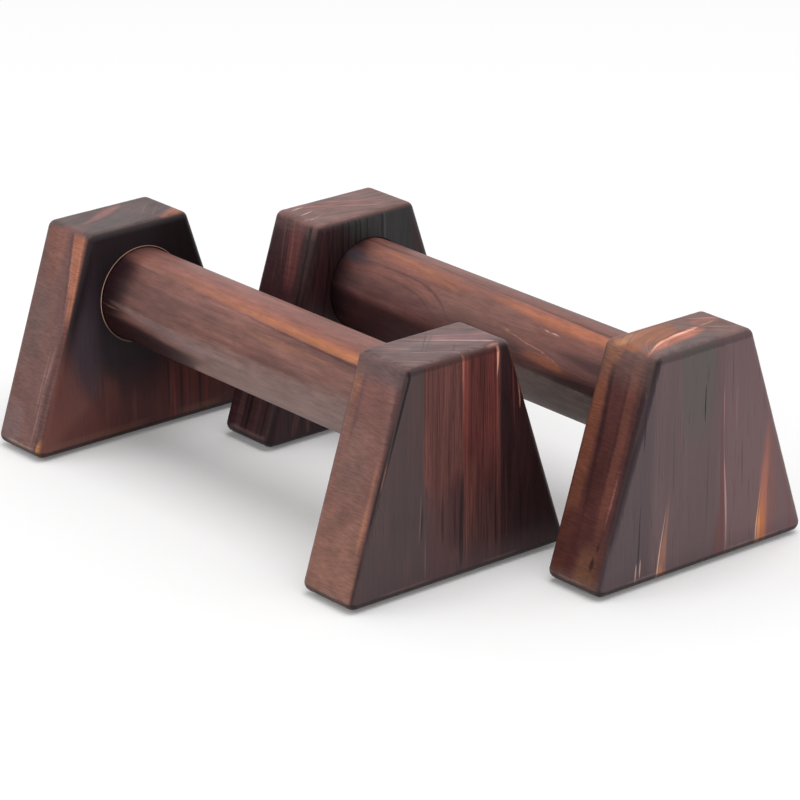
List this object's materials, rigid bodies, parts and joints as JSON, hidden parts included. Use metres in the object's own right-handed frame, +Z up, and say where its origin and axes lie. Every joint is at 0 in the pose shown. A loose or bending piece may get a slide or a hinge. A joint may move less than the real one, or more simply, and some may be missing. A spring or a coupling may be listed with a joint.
{
  "type": "parallette bar pair",
  "caption": "Low wooden parallette bars: thick round handles glued into trapezoid feet on thin rubber soles, a matched set standing nested and staggered.",
  "frame": {"origin": "on the floor, midway between the two bars as they stand nested", "axes": "+X along the handles towards the front feet, +Y from the left bar to the right bar, +Z up"},
  "size_m": [0.3594, 0.237, 0.117],
  "materials": {
    "foot_wood": "carbonised softwood, satin clear coat, upright grain",
    "handle_wood": "carbonised softwood dowel, satin clear coat, grain along the handle",
    "sole_rubber": "matt, fine grit"
  },
  "bodies": {
    "left_bar": {"left_handle": "handle_wood", "left_front_foot": "foot_wood", "left_rear_foot": "foot_wood", "left_front_sole": "sole_rubber", "left_rear_sole": "sole_rubber"},
    "right_bar": {"right_handle": "handle_wood", "right_front_foot": "foot_wood", "right_rear_foot": "foot_wood", "right_front_sole": "sole_rubber", "right_rear_sole": "sole_rubber"}
  },
  "joints": [
    {"name": "right_bar_spacing", "type": "slide", "parent": "left_bar", "child": "right_bar", "axis": [0, 1, 0], "range_m": [0, 0.45]}
  ]
}
